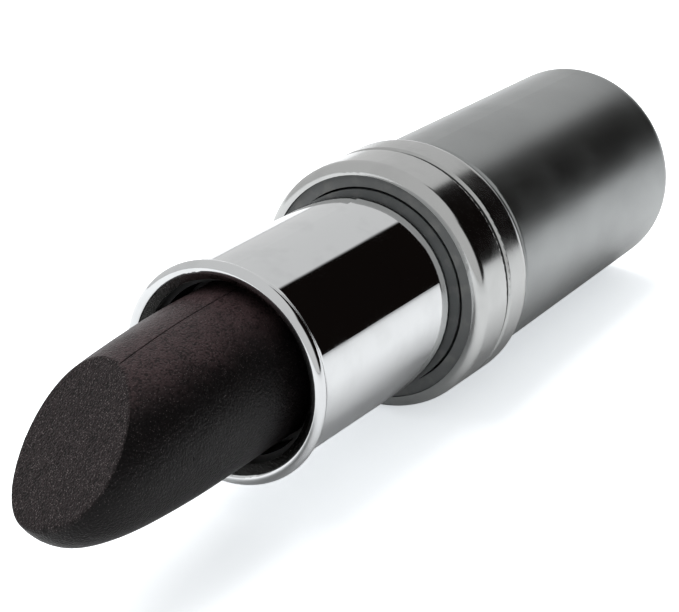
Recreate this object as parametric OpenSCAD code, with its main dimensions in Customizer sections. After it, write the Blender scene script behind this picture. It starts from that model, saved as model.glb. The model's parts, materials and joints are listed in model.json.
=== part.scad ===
// Lipstick case with its bullet turned up: a chrome tube with a rolled lip, a collar of two
// polished rings and a satin base, around a carrier that rises on two helical grooves.
// The case lies on its side with the base towards +X. It rests on the rear collar ring and
// on the rounded end of its base, which lifts the bullet a little.
// Every piece is drawn upright, from the base's end at z = 0 up to the bullet, and is laid
// down by lie_down().

/* [Bullet] */
// Diameter of the moulded bullet
bullet_d = 12.1; // [10:0.1:14.6]
// Length of the nose, from where the side starts to round to where it would close
nose_len = 21; // [14:0.5:25.5]
// How long the side of the nose stays straight
nose_power = 2.65; // [1.5:0.05:4]
// How blunt the nose is, where 0.5 is round and less is blunter
nose_blunt = 0.23; // [0.15:0.01:0.5]
// Depth below the mouth at which the nose starts
nose_start = 0.4; // [0:0.1:2]
// Angle between the slanted facet and the axis
facet_angle = 40; // [30:1:60]
// Turn of the facet about the axis, away from straight up
facet_lean = 24; // [-180:1:180]
// Height above the mouth at which the facet crosses the axis
facet_height = 18; // [11:0.5:20]
// Depth of the bullet's tip below the mouth when it is turned down
tuck = 1; // [0.5:0.1:3]

/* [Carrier cup] */
// Height of the cup that holds the bullet's foot
cup_h = 9.5; // [7:0.1:12]
// Wall of the cup
cup_wall = 0.35; // [0.3:0.05:0.8]
// Thickness of the cup's floor
cup_floor = 1; // [0.6:0.1:2]
// Depth of the cup's rim below the mouth when the bullet is up
rim_depth = 3.8; // [2.5:0.1:6]
// Radius of the two round lugs that follow the grooves
lug_r = 0.75; // [0.5:0.05:1]
// Height of the lugs above the cup's lower end
lug_rise = 1; // [0.8:0.1:3]
// How far the lugs reach past the guide tube
lug_reach = 0.35; // [0.2:0.05:0.4]

/* [Guide tube] */
// Wall of the guide tube
guide_wall = 0.35; // [0.3:0.05:0.8]
// Height of the guide tube's foot, which is fixed in the base
foot_h = 5.3; // [3:0.1:7]
// Thickness of the foot's floor
foot_floor = 1.2; // [0.8:0.1:2]
// Solid length of tube between the foot and the slots
foot_land = 2; // [1:0.1:3]
// Depth of the guide tube's upper end below the mouth
guide_depth = 1.5; // [1.4:0.1:4]
// Height of the rim that keeps the spiral sleeve on
guide_rim_h = 0.9; // [0.5:0.1:1.5]
// How far the rim catches over the spiral sleeve
guide_rim_catch = 0.25; // [0.15:0.05:0.4]

/* [Spiral sleeve] */
// Wall of the spiral sleeve
spiral_wall = 0.51; // [0.45:0.01:1]
// Rise of the carrier in one full turn
pitch = 18; // [12:0.5:30]

/* [Chrome tube] */
// Length of the tube that shows above the collar
tube_len = 19.8; // [16:0.1:30]
// Wall of the chrome tube
tube_wall = 0.35; // [0.3:0.05:0.8]
// Radius of the rolled lip's round section
lip_r = 0.55; // [0.5:0.05:0.8]
// How far the lip stands proud of the tube
lip_proud = 0.5; // [0.2:0.05:0.7]
// Radius of the hollow fillet behind the lip
lip_fillet = 0.8; // [0.4:0.1:1.5]
// Length of the tube that is hidden in the collar
tube_foot = 7; // [4:0.1:7.2]
// Height of the bevelled ring in the mouth
mouth_ring_h = 1; // [0.8:0.1:1.2]
// Width of the bevelled ring in the mouth
mouth_ring_w = 0.58; // [0.3:0.02:0.6]
// Depth of the bevel's outer edge below the mouth
mouth_ring_depth = 0.2; // [0:0.05:0.3]
// Drop of the bevel towards the bullet
mouth_bevel = 0.5; // [0.2:0.05:0.7]

/* [Collar] */
// Height of the front ring
front_h = 3.9; // [3:0.1:6]
// Radius of the front ring's shoulder
shoulder_r = 0.85; // [0.4:0.05:1]
// Height of the rear ring
rear_h = 3.3; // [2.6:0.1:6]
// Radius of the rear ring's edge towards the base
rear_round = 1; // [0.4:0.1:1]
// Thickness of both rings, from the liner's neck outwards
ring_t = 1.43; // [1.4:0.01:2.5]
// Width of the groove between the rings
ring_groove_h = 0.3; // [0.2:0.1:1]
// Depth of the groove between the rings
ring_groove_depth = 0.5; // [0.45:0.05:0.8]
// Width of the groove between the rear ring and the base
base_groove_h = 0.6; // [0.3:0.1:1]
// Depth of the groove between the rear ring and the base
base_groove_depth = 1.15; // [1.1:0.05:1.2]
// Radius of the edges at the grooves
groove_edge = 0.25; // [0.1:0.05:0.4]
// Width of the front ring's face, between its shoulder and the brake ring's seat
seat_land = 0.1; // [0.1:0.05:0.3]
// Thickness of the soft brake ring round the tube
brake_t = 0.6; // [0.4:0.1:1]
// Depth of the brake ring below the front ring's face
brake_sink = 0.2; // [0:0.05:0.3]

/* [Base] */
// Height of the base shell
base_h = 27.2; // [21:0.1:40]
// How far the top of the base shell stands out of the chrome tube
base_stand = 1.35; // [1.2:0.05:3]
// How much the radius of the base shell shrinks from its top to its end
base_taper = 0.45; // [0:0.05:0.8]
// Wall of the base shell
base_wall = 0.6; // [0.4:0.05:0.7]
// Thickness of the base shell's floor
base_floor = 0.8; // [0.6:0.1:1.5]
// Radius of the base shell's lower edge
base_edge = 1.6; // [1:0.1:1.8]
// Radius of the base shell's upper edge
base_crown = 0.25; // [0.1:0.05:0.3]
// Wall of the liner's neck, which carries the rings
neck_wall = 0.45; // [0.3:0.05:0.8]
// Thickness of the liner's floor between the weight and the guide tube
partition_t = 1.2; // [0.8:0.1:2]
// Radius of the steel weight
weight_r = 6.4; // [4:0.1:6.4]
// Radius of the disc let into the base's end
disc_r = 5.4; // [3:0.1:5.8]
// Thickness of the disc
disc_t = 0.25; // [0.15:0.05:0.3]
// Depth of the disc below the base's end
disc_sink = 0.05; // [0:0.05:0.2]

/* [Clearances] */
// Gap for glue or for a press between pieces of one body
bond = 0.02; // [0.01:0.01:0.05]
// Gap between the carrier cup and the guide tube
slide_gap = 0.08; // [0.05:0.01:0.1]
// Gap between the spiral sleeve and the guide tube
turn_gap = 0.07; // [0.05:0.01:0.1]
// Gap between the chrome tube and the collar
run_gap = 0.1; // [0.05:0.01:0.1]
// Gap between the spiral sleeve and the liner
sleeve_gap = 0.12; // [0.08:0.01:0.2]
// Gap round the lugs, in the slots and in the grooves
lug_gap = 0.1; // [0.05:0.01:0.15]
// Gap past the lugs at both ends of the slots
slot_end_gap = 0.25; // [0.1:0.05:0.5]
// End play of the sleeve between the guide tube's foot and its rim
end_gap = 0.05; // [0.03:0.01:0.1]

/* [Hidden] */
$fn = 96;
eps = 0.01;          // overlap of cutting bodies
nose_steps = 40;     // points along the nose
groove_steps = 48;   // slices along a helical groove
groove_arc = 5;      // points across a helical groove
groove_fn = 16;      // how finely a groove's edges are split along its section

// Radii, from the bullet outwards
bullet_r = bullet_d / 2;
cup_ir = bullet_r + bond;
cup_or = cup_ir + cup_wall;
guide_ir = cup_or + slide_gap;
guide_or = guide_ir + guide_wall;
lug_end = guide_or + lug_reach;
spiral_ir = guide_or + turn_gap;
spiral_or = spiral_ir + spiral_wall;
groove_r = sqrt(lug_end * lug_end + lug_r * lug_r) + lug_gap / 2;
tube_ir = spiral_or + bond;
tube_r = tube_ir + tube_wall;
neck_ir = tube_r + run_gap;
neck_or = neck_ir + neck_wall;
ring_ir = neck_or + bond;
ring_r = ring_ir + ring_t;
seat_r = ring_r - shoulder_r - seat_land;
socket_r = spiral_or + sleeve_gap;
base_top_r = tube_r + base_stand;
base_end_r = base_top_r - base_taper;

// Heights, from the base's end to the mouth
rear_z = base_h + base_groove_h;
groove_z = rear_z + rear_h;
front_z = groove_z + ring_groove_h;
seam_z = front_z + front_h;
seat_z = seam_z - brake_sink - brake_t;
mouth_z = seam_z + tube_len;
tube_foot_z = seam_z - tube_foot;

// Heights of the carrier with the bullet up, and of what it runs in
travel = nose_len - nose_start + tuck;
cup_z = mouth_z - rim_depth - cup_h;
lug_up_z = cup_z + lug_rise;
lug_down_z = lug_up_z - travel;
slot_low_z = lug_down_z - lug_r - slot_end_gap;
slot_high_z = lug_up_z + lug_r + slot_end_gap;
foot_top_z = slot_low_z - foot_land;
foot_z = foot_top_z - foot_h;
spiral_z = foot_top_z + end_gap;
guide_top_z = mouth_z - guide_depth;
spiral_top_z = guide_top_z - guide_rim_h - end_gap;
weight_top_z = foot_z - partition_t - bond;

// Helical grooves: the half angle that a round lug sweeps across a sloping groove
turn_of = 360 / pitch;
groove_slope = 2 * PI * spiral_ir / pitch;
groove_half = (lug_r + lug_gap) * sqrt(1 + groove_slope * groove_slope) / spiral_ir * 180 / PI;

// Side of the base shell, as a line that leans outwards by base_lean
base_lean = atan(base_taper / base_h);
function side_r(z, inset) = base_end_r + base_taper * z / base_h - inset / cos(base_lean);

// Lying on its side: the base's lower edge and the rear ring's lower edge both touch z = 0
edge_r = side_r(base_edge, 0) - base_edge / cos(base_lean);
rest_dr = ring_r - rear_round - edge_r;
rest_dz = rear_z + rear_round - base_edge;
tilt = atan2(rest_dr, rest_dz) + asin((rear_round - base_edge) / norm([rest_dr, rest_dz]));
axis_h = edge_r * cos(tilt) + base_edge * (1 - sin(tilt));

// Radius of the nose at a height: R (1 - t^power)^blunt, with t from 0 to 1 along it
nose_z = mouth_z - nose_start;
function nose_r(t) = bullet_r * pow(max(1 - pow(t, nose_power), 0), nose_blunt);

// The tip is where the facet's plane meets the nose on its far side, found by halving
facet_z = mouth_z + facet_height;
function past_tip(z) = z - facet_z > nose_r((z - nose_z) / nose_len) / tan(facet_angle);
function tip_between(low, high, n) = n == 0 ? low
    : past_tip((low + high) / 2) ? tip_between(low, (low + high) / 2, n - 1)
    : tip_between((low + high) / 2, high, n - 1);
tip_z = tip_between(nose_z, nose_z + nose_len, 30);
tip_r = nose_r((tip_z - nose_z) / nose_len);
low_x = -tip_z * cos(tilt) - tip_r * cos(facet_lean) * sin(tilt);
high_x = edge_r * sin(tilt) + base_edge * (1 - cos(tilt));

// Lays an upright piece on its side, over the origin
module lie_down() {
    translate([-(low_x + high_x) / 2, 0, axis_h])
        rotate([0, tilt - 90, 0])
            children();
}

// Section of a ring or tube with both outer edges rounded
module band(inner, outer, low, high, low_round, high_round) {
    polygon([
        [inner, low], [outer - low_round, low],
        [outer, low + low_round], [outer, high - high_round],
        [outer - high_round, high], [inner, high]
    ]);
    corner(inner, outer - low_round, low + low_round, low_round);
    corner(inner, outer - high_round, high - high_round, high_round);
}

// Round of a section's outer edge about a centre, kept outside the section's bore
module corner(inner, r, z, radius) {
    difference() {
        translate([r, z]) circle(radius);
        block(0, inner, z - radius - eps, z + radius + eps);
    }
}

// Plain rectangle of a section, between two radii and two heights
module block(inner, outer, low, high) {
    translate([inner, low]) square([outer - inner, high - low]);
}

// Section inside the base's leaning side, moved in by inset, with its lower edge chamfered
module base_core(inset, low, edge, high) {
    round_z = low + edge;
    round_r = side_r(round_z, inset) - edge / cos(base_lean);
    polygon([
        [0, low], [round_r, low],
        [round_r + edge * cos(base_lean), round_z - edge * sin(base_lean)],
        [side_r(high, inset), high], [0, high]
    ]);
}

// The same section with its lower edge rounded
module base_outline(inset, low, edge, high) {
    base_core(inset, low, edge, high);
    translate([side_r(low + edge, inset) - edge / cos(base_lean), low + edge]) circle(edge);
}

// Moulded bullet: a straight foot in the cup, a rounded nose and one slanted facet
module bullet() {
    nose = [for (i = [0:nose_steps]) let (t = 1 - pow(1 - i / nose_steps, 2))
        [nose_r(t), nose_z + nose_len * t]];
    foot_z = cup_z + cup_floor;
    half_cut = bullet_d;
    color("#3c3234") lie_down() difference() {
        rotate_extrude() polygon(concat([[0, foot_z], [bullet_r, foot_z]], nose));
        translate([0, 0, facet_z])
            rotate([0, 0, facet_lean])
                rotate([0, 90 - facet_angle, 0])
                    translate([-2 * half_cut, -half_cut, 0])
                        cube([4 * half_cut, 2 * half_cut, 2 * half_cut]);
    }
}

// Cup that grips the bullet's foot, with two round lugs
module carrier_cup() {
    color("#1c1c1e") lie_down() difference() {
        union() {
            translate([0, 0, cup_z]) cylinder(r = cup_or, h = cup_h);
            translate([0, 0, lug_up_z])
                rotate([90, 0, 0]) cylinder(r = lug_r, h = 2 * lug_end, center = true);
        }
        translate([0, 0, cup_z + cup_floor]) cylinder(r = cup_ir, h = cup_h);
    }
}

// Slotted tube that keeps the carrier from turning; its foot is fixed in the base
module guide_tube() {
    rim_z = spiral_top_z + end_gap;
    slot_w = 2 * (lug_r + lug_gap);
    color("#262628") lie_down() difference() {
        rotate_extrude() difference() {
            union() {
                block(0, socket_r - bond, foot_z, foot_top_z);
                block(0, guide_or, foot_z, guide_top_z);
                block(0, spiral_ir + guide_rim_catch, rim_z, guide_top_z);
            }
            block(-eps, guide_ir, foot_z + foot_floor, guide_top_z + eps);
        }
        translate([-slot_w / 2, -spiral_or, slot_low_z])
            cube([slot_w, 2 * spiral_or, slot_high_z - slot_low_z]);
    }
}

// Two opposite sectors, whose twisted extrusion is the pair of helical grooves
module groove_sectors() {
    for (side = [-90, 90]) {
        arc = [for (i = [0:groove_arc]) side + groove_half * (2 * i / groove_arc - 1)];
        polygon(concat([[0, 0]], [for (a = arc) groove_r * [cos(a), sin(a)]]));
    }
}

// Sleeve inside the chrome tube, with the two grooves that lift the carrier
module spiral_sleeve() {
    over = lug_r + slot_end_gap;
    length = travel + 2 * over;
    color("#2e2e31") lie_down() difference() {
        rotate_extrude() block(spiral_ir, spiral_or, spiral_z, spiral_top_z);
        translate([0, 0, lug_down_z - over])
            rotate([0, 0, -(travel + over) * turn_of])
                linear_extrude(height = length, twist = -length * turn_of,
                               slices = groove_steps, $fn = groove_fn)
                    groove_sectors();
    }
}

// Drawn chrome tube with a rolled lip at the mouth
module chrome_tube() {
    lip_c = tube_r + lip_proud - lip_r;
    lip_z = mouth_z - lip_r;
    hollow_dr = tube_r + lip_fillet - lip_c;
    hollow_z = lip_z - sqrt(pow(lip_fillet + lip_r, 2) - pow(hollow_dr, 2));
    color("#d4d7d9") lie_down() rotate_extrude() {
        block(tube_ir, tube_r, tube_foot_z, lip_z);
        corner(tube_ir, lip_c, lip_z, lip_r);
        difference() {
            polygon([
                [tube_ir, hollow_z], [tube_r + lip_fillet, hollow_z],
                [lip_c, lip_z], [tube_ir, lip_z]
            ]);
            translate([tube_r + lip_fillet, hollow_z]) circle(lip_fillet);
        }
    }
}

// Polished ring pressed in the mouth, bevelled towards the bullet
module mouth_ring() {
    outer = tube_ir - bond;
    inner = outer - mouth_ring_w;
    top_z = mouth_z - mouth_ring_depth;
    color("#cfd0cd") lie_down() rotate_extrude()
        polygon([
            [inner, top_z - mouth_ring_h], [outer, top_z - mouth_ring_h],
            [outer, top_z], [inner, top_z - mouth_bevel]
        ]);
}

// Soft ring in the collar's mouth, which gives the twist its even drag
module brake_ring() {
    color("#18181a") lie_down() rotate_extrude()
        block(neck_ir, seat_r - bond, seat_z, seat_z + brake_t);
}

// Front collar ring with a round shoulder towards the tube and a seat for the brake ring
module front_ring() {
    color("#c9cccd") lie_down() rotate_extrude() difference() {
        band(ring_ir, ring_r, front_z, seam_z, groove_edge, shoulder_r);
        block(ring_ir - eps, seat_r, seat_z, seam_z + eps);
    }
}

// Rear collar ring, with a stepped land at each end that makes the two grooves
module rear_ring() {
    base_land = ring_r - base_groove_depth;
    ring_land = ring_r - ring_groove_depth;
    round_r = ring_r - rear_round;
    edge_c = ring_r - groove_edge;
    color("#b9bbbb") lie_down() rotate_extrude() {
        polygon([
            [ring_ir, base_h], [base_land, base_h], [base_land, rear_z],
            [round_r, rear_z], [ring_r, rear_z + rear_round],
            [ring_r, groove_z - groove_edge], [edge_c, groove_z],
            [ring_land, groove_z], [ring_land, front_z], [ring_ir, front_z]
        ]);
        corner(ring_ir, round_r, rear_z + rear_round, rear_round);
        corner(ring_ir, edge_c, groove_z - groove_edge, groove_edge);
    }
}

// Moulded liner: fills the base shell, holds the weight and the guide tube, carries the rings
module base_liner() {
    step_z = tube_foot_z - sleeve_gap;
    color("#202022") lie_down() rotate_extrude() difference() {
        union() {
            base_core(base_wall + bond, base_floor, base_edge - base_wall - bond, base_h);
            block(0, neck_or, base_h - eps, seat_z);
        }
        block(-eps, weight_r + bond, base_floor - eps, weight_top_z + bond);
        block(-eps, socket_r, foot_z, step_z + eps);
        block(-eps, neck_ir, step_z, seat_z + eps);
    }
}

// Steel slug that gives the base its heft
module weight() {
    color("#6e7275") lie_down()
        translate([0, 0, base_floor]) cylinder(r = weight_r, h = weight_top_z - base_floor);
}

// Drawn satin shell of the base, closed at its end, with a recess for the disc
module base_shell() {
    crown_r = side_r(base_h - base_crown, 0) - base_crown / cos(base_lean);
    color("#85898a") lie_down() rotate_extrude() difference() {
        union() {
            difference() {
                base_outline(0, 0, base_edge, base_h);
                block(crown_r, base_top_r + 1, base_h - base_crown, base_h + eps);
            }
            translate([crown_r, base_h - base_crown]) circle(base_crown);
        }
        base_outline(base_wall, base_floor, base_edge - base_wall, base_h + eps);
        block(-eps, disc_r + bond, -eps, disc_t + disc_sink);
    }
}

// Thin disc let into the base's end
module bottom_disc() {
    color("#2b2b2d") lie_down()
        translate([0, 0, disc_sink]) cylinder(r = disc_r, h = disc_t);
}

bullet();
carrier_cup();
guide_tube();
spiral_sleeve();
chrome_tube();
mouth_ring();
brake_ring();
front_ring();
rear_ring();
base_liner();
weight();
base_shell();
bottom_disc();
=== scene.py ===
import json
import math

import bpy
import numpy as np
from mathutils import Matrix, Vector


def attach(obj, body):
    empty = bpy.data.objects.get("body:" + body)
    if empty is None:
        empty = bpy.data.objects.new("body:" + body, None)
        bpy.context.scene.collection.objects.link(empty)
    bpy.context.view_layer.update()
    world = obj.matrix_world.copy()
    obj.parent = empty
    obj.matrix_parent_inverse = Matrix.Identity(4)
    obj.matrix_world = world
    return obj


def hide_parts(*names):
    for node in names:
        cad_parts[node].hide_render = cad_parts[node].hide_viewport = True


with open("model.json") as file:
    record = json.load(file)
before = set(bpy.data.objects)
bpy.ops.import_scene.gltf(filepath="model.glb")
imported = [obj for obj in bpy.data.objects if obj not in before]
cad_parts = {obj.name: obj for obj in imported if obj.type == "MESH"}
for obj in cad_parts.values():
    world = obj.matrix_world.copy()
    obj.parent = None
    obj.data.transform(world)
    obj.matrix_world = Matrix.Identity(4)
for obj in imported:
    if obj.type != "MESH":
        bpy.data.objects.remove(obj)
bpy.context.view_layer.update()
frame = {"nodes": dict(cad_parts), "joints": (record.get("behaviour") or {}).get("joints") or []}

# Case: every piece below is laid out along the case's own axis, which the twist joint gives.
# Heights are counted from the base's end towards the bullet, and angles from straight up
# towards +Y, in millimetres and radians.
MM = 0.001
twist = next(joint for joint in frame["joints"] if joint["name"] == "sleeve_twist")
case_axis = np.array(twist["axis"]) / np.linalg.norm(twist["axis"])
case_side = np.array([0.0, 1.0, 0.0])
case_up = np.cross(case_side, case_axis)
case_tilt = math.asin(case_axis[2])


def node_span(node):
    """Lowest and highest place of a CAD node along the case's axis, from the twist joint."""
    mesh = frame["nodes"][node].data
    flat = np.empty(len(mesh.vertices) * 3, np.float32)
    mesh.vertices.foreach_get("co", flat)
    along = (flat.reshape(-1, 3) - np.array(twist["pos_m"])) @ case_axis
    return along.min() / MM, along.max() / MM


base_end = np.array(twist["pos_m"]) + case_axis * node_span("base_shell")[0] * MM
mouth_z = node_span("chrome_tube")[1] - node_span("base_shell")[0]


def case_point(radius, angle, height):
    """Points at a radius, an angle and a height: end + axis height + (up cos + side sin) radius."""
    across = np.cos(angle)[..., None] * case_up + np.sin(angle)[..., None] * case_side
    return base_end + (radius[..., None] * across + height[..., None] * case_axis) * MM


# Camera: low over the bullet's side of the case, looking along it towards the base.
LENS_MM = 127.246
SENSOR_W = 36
AXIS_RISE = math.radians(21.908)      # how far the camera looks down on a level case
AXIS_TO_LENS = 0.84662                # how much of the axis lies in the view's upright plane
AXIS_ACROSS = 0.5321                  # how much of the axis lies across the view
MOUTH_RIGHT, MOUTH_DOWN, MOUTH_AWAY = -8.25, 4.86, 166.23    # the tube's mouth, from the lens
NEAR, FAR = 0.005, 20                 # metres between which the camera sees
view_rise = AXIS_RISE + math.asin(math.sin(case_tilt) / AXIS_TO_LENS)
view_turn = math.asin(AXIS_ACROSS / math.cos(case_tilt))
level = np.array([math.cos(view_turn), math.sin(view_turn), 0.0])
to_right = np.array([math.sin(view_turn), -math.cos(view_turn), 0.0])
forward = math.cos(view_rise) * level - math.sin(view_rise) * np.array([0.0, 0.0, 1.0])
to_top = np.cross(to_right, forward)
mouth = base_end + case_axis * mouth_z * MM
eye = mouth - (MOUTH_RIGHT * to_right - MOUTH_DOWN * to_top + MOUTH_AWAY * forward) * MM
lens = bpy.data.cameras.new("camera")
lens.sensor_width = SENSOR_W
lens.lens = LENS_MM
lens.clip_start, lens.clip_end = NEAR, FAR
camera = bpy.data.objects.new("camera", lens)
bpy.context.scene.collection.objects.link(camera)
turn = np.eye(4)
turn[:3, 0], turn[:3, 1], turn[:3, 2], turn[:3, 3] = to_right, to_top, -forward, eye
camera.matrix_world = Matrix(turn.tolist())
bpy.context.scene.camera = camera


# Bullet: lipstick wax moulded in a split mould, pushed into its cup and turned up. Its side has
# a faint sheen and the mould's seam along it, and its slanted facet is duller, with more pearl.
BULLET_R = 6.05
NOSE_LEN = 21.0
NOSE_POWER = 2.65                     # how long the side stays straight
NOSE_BLUNT = 0.23                     # 0.5 would be round
NOSE_START = 0.4                      # below the mouth
NOSE_BEND = 0.75                      # the soft tip has sunk away from its facet
BEND_LEN = 20.5                       # of the bend, from the mouth
BEND_POWER = 1.5
FOOT_DEPTH = 12.3                     # of the bullet's foot below the mouth
FACET_ANGLE = math.radians(40)
FACET_LEAN = math.radians(24)
FACET_HEIGHT = 18.0                   # above the mouth, on the axis
EDGE_WORN = 0.16                      # width of the softened edge round the facet
EDGE_SIDE = 0.8                       # its share of that width on the side
RAGGED_WIDE, RAGGED_FINE = 0.35, 0.2  # how unevenly the edge is worn
SEAM_ANGLE = math.radians(-2)
SEAM_WIDTH, SEAM_DEPTH = 0.05, 0.05
SEAM_START = 0.5                      # above the foot, and as long as its start takes
WAVES = ((0.012, 3, 0.35), (0.006, 7, -0.9))    # depth, waves round the bullet, radians per mm
WAVES_START = 3.0                     # length over which they grow above the foot
CROWDING, CROWD_SPREAD = 0.985, 0.06  # how close the columns lie at the seam, and how widely
BULLET_COLUMNS = 480
FOOT_ROWS, SIDE_ROWS = 4, 70
FOOT_SHARE, SIDE_SHARE = 0.3, 0.32    # where those rows end and start, as shares of the height
EDGE_BENDS = (0.2, 0.4, 0.6, 0.8, 1.0)
FACET_ROWS = 24
FACET_CROWDING = 1.3                  # rows lie closer together near the facet's edge
CUT_FROM = 3                          # rows of the worn edge that are half side, half facet
HALVINGS = 40


def nose_radius(height):
    """Radius of the bullet: R, then R (1 - t^power)^blunt with t from 0 to 1 along the nose."""
    t = np.clip((height - mouth_z + NOSE_START) / NOSE_LEN, 0, 1)
    return BULLET_R * (1 - t ** NOSE_POWER) ** NOSE_BLUNT


def facet_edge(angle):
    """Height at which the side meets the facet at each angle, found by halving."""
    low = np.full_like(angle, mouth_z)
    high = np.full_like(angle, mouth_z - NOSE_START + NOSE_LEN)
    lean = np.cos(angle - FACET_LEAN) / math.tan(FACET_ANGLE)
    for _ in range(HALVINGS):
        middle = (low + high) / 2
        above = middle > mouth_z + FACET_HEIGHT - nose_radius(middle) * lean
        low, high = np.where(above, low, middle), np.where(above, middle, high)
    return low


def grid_mesh(name, points):
    """A tube of quads from rows x columns x 3 points, with a fan of triangles at each end."""
    rows, columns = points.shape[:2]
    index = np.arange(rows * columns).reshape(rows, columns)
    after = np.roll(index, -1, axis=1)
    quads = np.stack([index[:-1], after[:-1], after[1:], index[1:]], axis=-1).reshape(-1, 4)
    low_fan = np.stack([after[0], index[0], np.full(columns, index.size)], axis=-1)
    high_fan = np.stack([index[-1], after[-1], np.full(columns, index.size + 1)], axis=-1)
    middles = [points[0].mean(axis=0), points[-1].mean(axis=0)]
    vertices = np.vstack([points.reshape(-1, 3), *middles])
    mesh = bpy.data.meshes.new(name)
    mesh.from_pydata(vertices.tolist(), [], quads.tolist() + low_fan.tolist() + high_fan.tolist())
    mesh.polygons.foreach_set("use_smooth", np.ones(len(mesh.polygons), bool))
    piece = bpy.data.objects.new(name, mesh)
    bpy.context.scene.collection.objects.link(piece)
    return piece


def put_values(piece, name, values):
    """Stores one number per vertex under a name that the material reads."""
    piece.data.attributes.new(name, "FLOAT", "POINT").data.foreach_set("value", values.ravel())


def smooth_step(x):
    """3x^2 - 2x^3, held between 0 and 1."""
    x = np.clip(x, 0, 1)
    return x * x * (3 - 2 * x)


# Columns lie closer together at the seam: the angle advances slowly where the seam is.
even = np.linspace(-math.pi, math.pi, BULLET_COLUMNS, endpoint=False)
crowd = even - CROWDING * np.sin(even) / np.sqrt(1 + CROWD_SPREAD * np.sin(even) ** 2)
angle = SEAM_ANGLE + crowd
edge_z = facet_edge(angle)
foot_z = mouth_z - FOOT_DEPTH
foot_rows = np.linspace(0, FOOT_SHARE, FOOT_ROWS)
side_rows = np.linspace(SIDE_SHARE, 1, SIDE_ROWS)
side_steps = np.concatenate([foot_rows, side_rows])[:, None]
side_z = foot_z + (edge_z - EDGE_WORN * EDGE_SIDE - foot_z) * side_steps
side_r = nose_radius(side_z)
seam = np.exp(-((crowd * BULLET_R / SEAM_WIDTH) ** 2))
side_r = side_r - SEAM_DEPTH * seam * smooth_step((side_z - foot_z) / SEAM_START - 1)
wave = sum(depth * np.sin(around * angle + along * side_z) for depth, around, along in WAVES)
side_r = side_r + wave * smooth_step((side_z - foot_z) / WAVES_START)
side_points = case_point(side_r, np.broadcast_to(angle, side_r.shape), side_z)

# The worn edge is a bend from the side over the sharp edge to the facet, uneven all round.
edge_points = case_point(nose_radius(edge_z), angle, edge_z)
facet_centre = edge_points.mean(axis=0)
inward = facet_centre - edge_points
inward = inward / np.linalg.norm(inward, axis=1)[:, None]
ragged = 1 + RAGGED_WIDE * np.sin(9 * angle) * np.sin(23 * angle + 1)
ragged = ragged + RAGGED_FINE * np.sin(57 * angle)
worn = (EDGE_WORN * ragged)[:, None] * MM
bend_t = np.array(EDGE_BENDS)[:, None, None]
round_points = (
    (1 - bend_t) ** 2 * side_points[-1]
    + 2 * bend_t * (1 - bend_t) * edge_points
    + bend_t ** 2 * (edge_points + inward * worn)
)
facet_steps = (np.linspace(0, 1, FACET_ROWS)[1:-1] ** FACET_CROWDING)[:, None, None]
facet_points = round_points[-1] + (facet_centre - round_points[-1]) * facet_steps
points = np.concatenate([side_points, round_points, facet_points])
height = (points - base_end) @ case_axis / MM
sunk = NOSE_BEND * np.clip((height - mouth_z) / BEND_LEN, 0, 1) ** BEND_POWER
away = -(math.cos(FACET_LEAN) * case_up + math.sin(FACET_LEAN) * case_side)
bullet = grid_mesh("lip_colour_bullet", points + sunk[..., None] * away * MM)

# The material reads two values: 0 on the side to 1 on the facet, and 1 along the seam, where painted
# shade darkens the groove. Each ends with those of the middles of the foot and of the facet.
cut = np.zeros(points.shape[:2])
cut[len(side_points):] = 0.5
cut[len(side_points) + CUT_FROM:] = 1
put_values(bullet, "facet", np.append(cut.ravel(), [0, 1]))
seam_mask = np.zeros(points.shape[:2])
seam_mask[:len(side_points)] = seam
put_values(bullet, "seam", np.append(seam_mask.ravel(), [0, 0]))


def new_material(name):
    """An empty node material, with its node tree and its Principled shader."""
    material = bpy.data.materials.new(name)
    material.use_nodes = True
    return material, material.node_tree, material.node_tree.nodes["Principled BSDF"]


def feed(tree, value, socket):
    """Links an output to a socket, or sets the socket to a number or a colour."""
    if isinstance(value, bpy.types.NodeSocket):
        tree.links.new(value, socket)
    else:
        socket.default_value = value


def calc(tree, operation, a, b=None, c=None):
    """A Math node on outputs or numbers."""
    node = tree.nodes.new("ShaderNodeMath")
    node.operation = operation
    for i, value in enumerate((a, b, c)):
        if value is not None:
            feed(tree, value, node.inputs[i])
    return node.outputs[0]


def fade(tree, value, start, end, low=0.0, high=1.0):
    """A smooth step of a value, from low at start to high at end."""
    node = tree.nodes.new("ShaderNodeMapRange")
    node.interpolation_type = "SMOOTHSTEP"
    feed(tree, value, node.inputs["Value"])
    for name, number in zip(("From Min", "From Max", "To Min", "To Max"), (start, end, low, high)):
        node.inputs[name].default_value = number
    return node.outputs["Result"]


def blend(tree, factor, a, b):
    """A mix of two colours."""
    node = tree.nodes.new("ShaderNodeMix")
    node.data_type = "RGBA"
    feed(tree, factor, node.inputs["Factor"])
    feed(tree, a, node.inputs[6])
    feed(tree, b, node.inputs[7])
    return node.outputs[2]


def noise(tree, where, scale, detail=2.0, rough=0.5):
    """Noise from 0 to 1, with scale counted per millimetre."""
    node = tree.nodes.new("ShaderNodeTexNoise")
    feed(tree, where, node.inputs["Vector"])
    feed(tree, scale, node.inputs["Scale"])
    node.inputs["Detail"].default_value = detail
    node.inputs["Roughness"].default_value = rough
    return node.outputs["Fac"]


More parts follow.
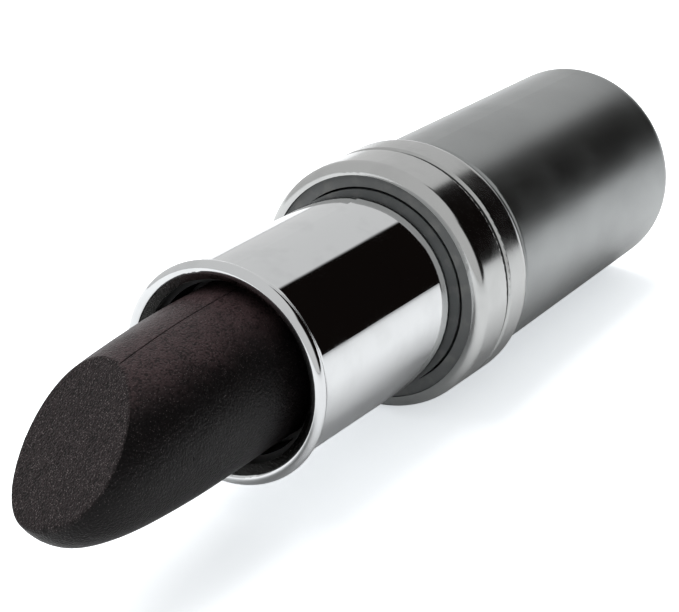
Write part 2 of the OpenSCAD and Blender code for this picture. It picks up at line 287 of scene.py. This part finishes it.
def on_case(tree, stretch=(1.0, 1.0, 1.0)):
    """Object coordinates turned so that Z runs up the case's axis, in millimetres."""
    where = tree.nodes.new("ShaderNodeTexCoord")
    mapping = tree.nodes.new("ShaderNodeMapping")
    tree.links.new(where.outputs["Object"], mapping.inputs["Vector"])
    quarter = math.pi / 2 - case_tilt
    start = Matrix.Rotation(quarter, 3, "Y") @ Vector(base_end.tolist()) / MM
    mapping.inputs["Scale"].default_value = (1 / MM,) * 3
    mapping.inputs["Rotation"].default_value = (0, quarter, 0)
    mapping.inputs["Location"].default_value = -start
    if stretch == (1.0, 1.0, 1.0):
        return mapping.outputs["Vector"]
    second = tree.nodes.new("ShaderNodeMapping")
    tree.links.new(mapping.outputs["Vector"], second.inputs["Vector"])
    second.inputs["Scale"].default_value = stretch
    return second.outputs["Vector"]


def relief(tree, shader, height, depth):
    """Feeds a height to the shader's normal through a Bump node, depth millimetres high at 1."""
    bump = tree.nodes.new("ShaderNodeBump")
    bump.inputs["Strength"].default_value = 1.0
    bump.inputs["Distance"].default_value = depth * MM
    feed(tree, height, bump.inputs["Height"])
    tree.links.new(bump.outputs["Normal"], shader.inputs["Normal"])


def new_effect(name, inputs):
    """A shader node group with float inputs and a vector, and one float output."""
    group = bpy.data.node_groups.new(name, "ShaderNodeTree")
    group.interface.new_socket("Where", in_out="INPUT", socket_type="NodeSocketVector")
    for socket, start in inputs:
        new = group.interface.new_socket(socket, in_out="INPUT", socket_type="NodeSocketFloat")
        new.default_value = start
    group.interface.new_socket("Value", in_out="OUTPUT", socket_type="NodeSocketFloat")
    given = group.nodes.new("NodeGroupInput").outputs
    return group, given, group.nodes.new("NodeGroupOutput").inputs


def use_effect(tree, group, where, **values):
    """Places an effect in a material with its own values, and returns its output."""
    node = tree.nodes.new("ShaderNodeGroup")
    node.node_tree = group
    tree.links.new(where, node.inputs["Where"])
    for name, value in values.items():
        feed(tree, value, node.inputs[name])
    return node.outputs["Value"]


# Grain: a fine, even roughness, as on moulded plastic or satin lacquer.
LARGE_SHARE = 0.23                    # how fine the soft grain is, next to the sharp one
fine_grain, given, result = new_effect("fine_grain", [("Size", 0.1), ("Softness", 0.5)])
per_mm = calc(fine_grain, "DIVIDE", 1.0, given["Size"])
small = noise(fine_grain, given["Where"], per_mm, 1.0)
large = noise(fine_grain, given["Where"], calc(fine_grain, "MULTIPLY", per_mm, LARGE_SHARE), 2.0)
softer = calc(fine_grain, "SUBTRACT", large, small)
mixed = calc(fine_grain, "MULTIPLY_ADD", softer, given["Softness"], small)
fine_grain.links.new(mixed, result["Value"])

# Handling: wide faint smudges where fingers have been, from 0 to the amount.
handling, given, result = new_effect("handling", [("Size", 4.0), ("Amount", 0.5)])
wide = noise(handling, given["Where"], calc(handling, "DIVIDE", 1.0, given["Size"]), 3.0, 0.6)
spots = fade(handling, wide, 0.45, 0.7)
handling.links.new(calc(handling, "MULTIPLY", spots, given["Amount"]), result["Value"])

# Pearl: flecks of mica, one in some of the cells, from 0 to 1.
pearl, given, result = new_effect("pearl", [("Size", 0.06), ("Share", 0.05)])
cells = pearl.nodes.new("ShaderNodeTexVoronoi")
pearl.links.new(given["Where"], cells.inputs["Vector"])
pearl.links.new(calc(pearl, "DIVIDE", 1.0, given["Size"]), cells.inputs["Scale"])
luck = pearl.nodes.new("ShaderNodeSeparateColor")
pearl.links.new(cells.outputs["Color"], luck.inputs[0])
chosen = calc(pearl, "LESS_THAN", luck.outputs[0], given["Share"])
shape = fade(pearl, cells.outputs["Distance"], 0.5, 0.15)
shine = calc(pearl, "MULTIPLY", chosen, shape)
pearl.links.new(calc(pearl, "MULTIPLY", shine, luck.outputs[1]), result["Value"])

# Wax: near-black with a painted plum sheen on its upper side where the top light falls, a paler
# facet, painted shade in the hollows between the grains and flecks of pearl. Painted shade darkens
# the mould's seam.
WAX_DARK = (0.0034, 0.0027, 0.0028, 1)
WAX_PAINTED_SHEEN = (0.0300, 0.0190, 0.0200, 1)
WAX_CUT = (0.0130, 0.0098, 0.0102, 1)
WAX_CUT_LOW = (0.01040, 0.00784, 0.00816, 1)
WAX_HOLLOW_SHADE = (0.0012, 0.0010, 0.0010, 1)
WAX_PEARL = (0.14, 0.12, 0.12, 1)
WAX_SEAM_SHADE = (0.002, 0.0015, 0.0015, 1)
# Heights above the axis over which the painted sheen fades in.
PAINTED_SHEEN_FROM, PAINTED_SHEEN_TO = 3.4, 5.6       # mm above the axis
GRAIN_SIZE, GRAIN_DEPTH = 0.17, 0.16
SIDE_ROUGH, SIDE_UNEVEN, CUT_ROUGH = 0.34, 0.12, 0.55
WAX_SPECULAR = 0.1
wax, tree, shader = new_material("lip_wax")
where = on_case(tree)
facet_mask = tree.nodes.new("ShaderNodeAttribute")
facet_mask.attribute_name = "facet"
seam_line = tree.nodes.new("ShaderNodeAttribute")
seam_line.attribute_name = "seam"
along_up = tree.nodes.new("ShaderNodeSeparateXYZ")
tree.links.new(where, along_up.inputs[0])
cloud = fade(tree, noise(tree, where, 0.25, 3.0), 0.3, 0.7, -0.5, 0.5)
# Painted sheen: the upper side is coloured plum, lighter where the top light falls on it.
painted_sheen = fade(tree, calc(tree, "ADD", along_up.outputs[0], cloud), PAINTED_SHEEN_FROM, PAINTED_SHEEN_TO)
side_colour = blend(tree, painted_sheen, WAX_DARK, WAX_PAINTED_SHEEN)
pigment = fade(tree, noise(tree, where, 2.2, 5.0, 0.65), 0.35, 0.75)
cut_colour = blend(tree, pigment, WAX_CUT, WAX_CUT_LOW)
colour = blend(tree, facet_mask.outputs["Fac"], side_colour, cut_colour)
wax_grain = use_effect(tree, fine_grain, where, Size=GRAIN_SIZE, Softness=0.3)
# Painted shade: the colour is darkened in the low places of the grain.
painted_hollow_shade = fade(tree, wax_grain, 0.36, 0.56, 0.75, 0.0)
colour = blend(tree, painted_hollow_shade, colour, WAX_HOLLOW_SHADE)
fleck_side = use_effect(tree, pearl, where, Size=0.09, Share=0.22)
fleck_cut = use_effect(tree, pearl, where, Size=0.10, Share=0.35)
flecks = calc(tree, "MAXIMUM", calc(tree, "MULTIPLY", fleck_side, 0.5),
              calc(tree, "MULTIPLY", fleck_cut, facet_mask.outputs["Fac"]))
colour = blend(tree, flecks, colour, WAX_PEARL)
# Painted shade: the colour is darkened along the seam's groove.
colour = blend(tree, calc(tree, "MULTIPLY", seam_line.outputs["Fac"], 0.85), colour, WAX_SEAM_SHADE)
tree.links.new(colour, shader.inputs["Base Color"])
side_rough = calc(tree, "MULTIPLY_ADD", noise(tree, where, 1.1, 4.0), SIDE_UNEVEN, SIDE_ROUGH)
duller = calc(tree, "SUBTRACT", CUT_ROUGH, side_rough)
rough_mix = calc(tree, "MULTIPLY_ADD", facet_mask.outputs["Fac"], duller, side_rough)
tree.links.new(rough_mix, shader.inputs["Roughness"])
shader.inputs["Specular IOR Level"].default_value = WAX_SPECULAR
pits = fade(tree, noise(tree, where, 3.0, 2.0, 0.4), 0.28, 0.18)
grain_share = calc(tree, "MULTIPLY_ADD", facet_mask.outputs["Fac"], 0.4, 0.6)
grain_height = calc(tree, "MULTIPLY", wax_grain, grain_share)
surface = calc(tree, "SUBTRACT", grain_height, calc(tree, "MULTIPLY", pits, 0.5))
relief(tree, shader, surface, GRAIN_DEPTH)
bullet.data.materials.append(wax)
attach(bullet, "carrier")
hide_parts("bullet")


# Cup, guide tube, spiral sleeve and liner: black mouldings. The cup holds the bullet's foot and
# slides in the guide tube, the sleeve is glued in the chrome tube and turns round the guide
# tube, and the liner fills the base. Each has the fine grain of its mould.
MOULD_SPECULAR = 0.25
MOULD_CLOUD = 1.6                     # how much paler the flow of the plastic makes it in places
MOULD_RELIEF = 0.012


def dress(node, material):
    """Gives a CAD node its one material."""
    mesh = frame["nodes"][node].data
    mesh.materials.clear()
    mesh.materials.append(material)


def moulding(name, shade, rough, grain_size):
    """Black plastic: a shade of black, clouded by mould flow, with grain and a few rubbed spots."""
    material, tree, shader = new_material(name)
    where = on_case(tree)
    flow = noise(tree, where, 0.35, 3.0)
    paler = shade * MOULD_CLOUD
    colour = blend(tree, flow, (shade, shade, shade, 1), (paler, paler, paler, 1))
    tree.links.new(colour, shader.inputs["Base Color"])
    rubbed = use_effect(tree, handling, where, Size=3.0, Amount=0.12)
    tree.links.new(calc(tree, "SUBTRACT", rough, rubbed), shader.inputs["Roughness"])
    shader.inputs["Specular IOR Level"].default_value = MOULD_SPECULAR
    mould_grain = use_effect(tree, fine_grain, where, Size=grain_size, Softness=0.3)
    relief(tree, shader, mould_grain, MOULD_RELIEF)
    return material


dress("carrier_cup", moulding("cup_moulding", 0.004, 0.5, 0.12))
dress("guide_tube", moulding("guide_moulding", 0.003, 0.6, 0.15))
dress("spiral_sleeve", moulding("sleeve_moulding", 0.004, 0.5, 0.12))
dress("base_liner", moulding("liner_moulding", 0.006, 0.55, 0.2))


# Chrome tube, mouth ring and collar rings: drawn or turned metal, polished and chromed. The
# mouth ring is pressed inside the rolled lip, and the collar rings on the liner's neck.
TUBE_TONE = (0.60, 0.61, 0.615)
MOUTH_TONE = (0.60, 0.60, 0.585)
FRONT_TONE = (0.45, 0.455, 0.45)
REAR_TONE = (0.42, 0.425, 0.42)
TOUCHED_TONE = 0.94                   # how much of its tone a touched place keeps


def chrome(name, tone, rough, smudge, line_size=0.0, line_depth=0.0):
    """Chrome: a tone, with smudges that dull it and, where turned, fine lines round the axis."""
    material, tree, shader = new_material(name)
    where = on_case(tree)
    touched = use_effect(tree, handling, where, Size=3.5, Amount=1.0)
    dull = tuple(TOUCHED_TONE * part for part in tone)
    tree.links.new(blend(tree, touched, tone + (1,), dull + (1,)), shader.inputs["Base Color"])
    shader.inputs["Metallic"].default_value = 1.0
    tree.links.new(calc(tree, "MULTIPLY_ADD", touched, smudge, rough), shader.inputs["Roughness"])
    if line_size:
        lines = noise(tree, on_case(tree, (0.02, 0.02, 1 / line_size)), 1.0, 2.0)
        relief(tree, shader, lines, line_depth)
    else:
        relief(tree, shader, noise(tree, where, 0.16, 1.0), 0.015)
    return material


dress("chrome_tube", chrome("tube_chrome", TUBE_TONE, 0.035, 0.03))
dress("mouth_ring", chrome("mouth_ring_chrome", MOUTH_TONE, 0.10, 0.08, 0.12, 0.004))
dress("front_ring", chrome("front_ring_chrome", FRONT_TONE, 0.14, 0.06, 0.15, 0.002))
dress("rear_ring", chrome("rear_ring_chrome", REAR_TONE, 0.17, 0.06, 0.15, 0.002))


# Brake ring: a soft dark grey ring that drags on the tube, moulded in rubber. Its face is dusty.
RUBBER = (0.10, 0.105, 0.105, 1)
RUBBER_DUST = (0.16, 0.16, 0.155, 1)
rubber, tree, shader = new_material("brake_rubber")
where = on_case(tree)
dust = use_effect(tree, handling, where, Size=1.2, Amount=0.6)
tree.links.new(blend(tree, dust, RUBBER, RUBBER_DUST), shader.inputs["Base Color"])
tree.links.new(calc(tree, "MULTIPLY_ADD", dust, 0.2, 0.65), shader.inputs["Roughness"])
relief(tree, shader, use_effect(tree, fine_grain, where, Size=0.08, Softness=0.5), 0.02)
dress("brake_ring", rubber)


# Base shell: deep-drawn aluminium with a satin pewter lacquer, glued over the liner.
LACQUER = (0.29, 0.30, 0.30, 1)
LACQUER_LOW = (0.261, 0.27, 0.27, 1)
satin, tree, shader = new_material("satin_pewter")
where = on_case(tree)
flow = fade(tree, noise(tree, where, 0.12, 3.0), 0.3, 0.7)
tree.links.new(blend(tree, flow, LACQUER, LACQUER_LOW), shader.inputs["Base Color"])
shader.inputs["Metallic"].default_value = 1.0
touched = use_effect(tree, handling, where, Size=6.0, Amount=0.06)
satin_grain = use_effect(tree, fine_grain, where, Size=0.06, Softness=0.4)
rough = calc(tree, "MULTIPLY_ADD", satin_grain, 0.08, 0.26)
tree.links.new(calc(tree, "ADD", rough, touched), shader.inputs["Roughness"])
turned = noise(tree, on_case(tree, (0.03, 0.03, 9.0)), 1.0, 2.0)
relief(tree, shader, calc(tree, "MULTIPLY_ADD", turned, 0.4, satin_grain), 0.006)
dress("base_shell", satin)


# Weight and disc: a turned steel slug inside the liner, and a thin black disc let into the
# base's end, where a shade label would be.
STEEL = (0.42, 0.43, 0.44, 1)
STEEL_RUST = (0.30, 0.27, 0.24, 1)
steel, tree, shader = new_material("turned_steel")
where = on_case(tree)
rust = fade(tree, noise(tree, where, 0.8, 4.0), 0.55, 0.75)
tree.links.new(blend(tree, rust, STEEL, STEEL_RUST), shader.inputs["Base Color"])
shader.inputs["Metallic"].default_value = 1.0
tree.links.new(calc(tree, "MULTIPLY_ADD", rust, 0.25, 0.3), shader.inputs["Roughness"])
relief(tree, shader, noise(tree, on_case(tree, (0.05, 0.05, 6.0)), 1.0, 2.0), 0.01)
dress("weight", steel)
dress("bottom_disc", moulding("disc_moulding", 0.02, 0.45, 0.1))


# Floor: a wide pale sheet of paper that the case lies on, lit until it is nearly white.
FLOOR_HALF = 3.0                      # metres
FLOOR_GLOW = 0.6                      # its extra light where the camera sees it
PAPER = (0.88, 0.89, 0.90, 1)
PAPER_GLOW = (0.93, 0.97, 1.0, 1)
PAPER_ROUGH, PAPER_SPECULAR = 0.9, 0.1
floor_mesh = bpy.data.meshes.new("floor")
corners = [(x * FLOOR_HALF, y * FLOOR_HALF, 0) for x, y in ((-1, -1), (1, -1), (1, 1), (-1, 1))]
floor_mesh.from_pydata(corners, [], [(0, 1, 2, 3)])
floor = bpy.data.objects.new("floor", floor_mesh)
bpy.context.scene.collection.objects.link(floor)
paper, tree, shader = new_material("floor")
shader.inputs["Base Color"].default_value = PAPER
shader.inputs["Roughness"].default_value = PAPER_ROUGH
shader.inputs["Specular IOR Level"].default_value = PAPER_SPECULAR
shader.inputs["Emission Color"].default_value = PAPER_GLOW
seen_straight = tree.nodes.new("ShaderNodeLightPath").outputs["Is Camera Ray"]
tree.links.new(calc(tree, "MULTIPLY", seen_straight, FLOOR_GLOW), shader.inputs["Emission Strength"])
floor_mesh.materials.append(paper)


# Studio: an even white sky lights the case plainly, and what shines reflects a white room with
# one dark side, low beyond the case's right. A wide soft lamp overhead adds a little direction.
SKY_LIGHT = (0.7, 0.7, 0.7, 1)
ROOM_WHITE = (0.85, 0.85, 0.85, 1)
ROOM_DARK = (0.006, 0.0045, 0.004, 1)
DARK_LEFT = (-1, -4)                  # degrees over which each edge of the dark side fades in
DARK_RIGHT = (-95, -75)
DARK_TOP = (50, 42)
LAMP_AT = Vector((-0.05, 0.25, 0.6))
LAMP_LENGTH, LAMP_WIDTH, LAMP_POWER = 0.7, 0.6, 6.0
world = bpy.data.worlds.new("studio")
bpy.context.scene.world = world
world.use_nodes = True
tree = world.node_tree
tree.nodes.clear()
where = tree.nodes.new("ShaderNodeTexCoord")
split = tree.nodes.new("ShaderNodeSeparateXYZ")
tree.links.new(where.outputs["Generated"], split.inputs[0])
sky_x, sky_y, sky_z = split.outputs
azimuth = calc(tree, "ARCTAN2", sky_y, sky_x)
elevation = calc(tree, "ARCSINE", sky_z)
dark_left = fade(tree, azimuth, *np.radians(DARK_LEFT))
dark_right = fade(tree, azimuth, *np.radians(DARK_RIGHT))
dark_top = fade(tree, elevation, *np.radians(DARK_TOP))
dark = calc(tree, "MULTIPLY", calc(tree, "MULTIPLY", dark_left, dark_right), dark_top)
path = tree.nodes.new("ShaderNodeLightPath")
white = blend(tree, path.outputs["Is Glossy Ray"], SKY_LIGHT, ROOM_WHITE)
seen = blend(tree, dark, white, ROOM_DARK)
sky = tree.nodes.new("ShaderNodeBackground")
tree.links.new(seen, sky.inputs["Color"])
output = tree.nodes.new("ShaderNodeOutputWorld")
tree.links.new(sky.outputs[0], output.inputs["Surface"])
lamp = bpy.data.lights.new("softbox", "AREA")
lamp.shape = "RECTANGLE"
lamp.size, lamp.size_y = LAMP_LENGTH, LAMP_WIDTH
lamp.energy = LAMP_POWER
softbox = bpy.data.objects.new("softbox", lamp)
bpy.context.scene.collection.objects.link(softbox)
softbox.location = LAMP_AT
softbox.rotation_euler = (-LAMP_AT).to_track_quat("-Z", "Y").to_euler()
softbox.visible_glossy = False
bpy.context.scene.view_settings.view_transform = "Standard"
